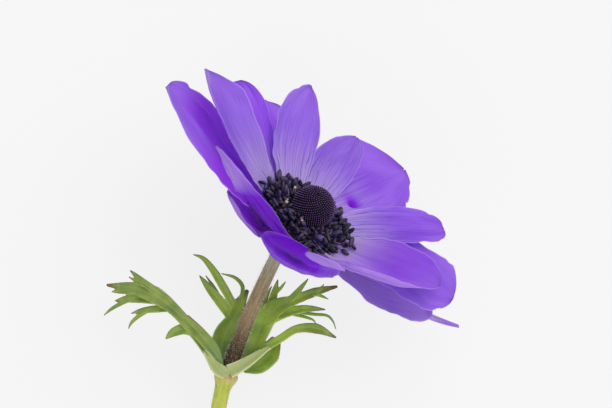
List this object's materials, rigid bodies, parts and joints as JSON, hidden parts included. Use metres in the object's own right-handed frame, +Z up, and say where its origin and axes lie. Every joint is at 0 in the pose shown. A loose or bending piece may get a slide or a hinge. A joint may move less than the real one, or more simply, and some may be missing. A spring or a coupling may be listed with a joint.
{
  "type": "anemone flower",
  "caption": "Cut crown anemone lying on a surface: nodding violet flower with a dark domed centre and ring of stamens, a whorl of finely cut leaves below it, and a long bare stem.",
  "frame": {"origin": "on the surface it lies on, under the middle of the whole flower's box", "axes": "+Z up from the surface, +Y from the cut end of the stem towards the flower head, +X to the right of that"},
  "size_m": [0.0808, 0.1402, 0.062],
  "materials": {
    "tepal": "satin",
    "stamens": "matte",
    "pistil": "matte",
    "stem": "satin",
    "bract": "satin"
  },
  "bodies": {
    "root": {"pistil": "pistil", "receptacle_stamens": "stamens", "tepal_outer_1": "tepal", "tepal_outer_2": "tepal", "tepal_outer_3": "tepal", "tepal_outer_4": "tepal", "tepal_outer_5": "tepal", "tepal_outer_6": "tepal", "tepal_outer_7": "tepal", "tepal_inner_1": "tepal", "tepal_inner_2": "tepal", "tepal_inner_3": "tepal", "tepal_inner_4": "tepal", "tepal_inner_5": "tepal", "tepal_inner_6": "tepal", "tepal_inner_7": "tepal", "stem": "stem", "bract_left": "bract", "bract_right": "bract", "bract_back": "bract"}
  },
  "joints": []
}
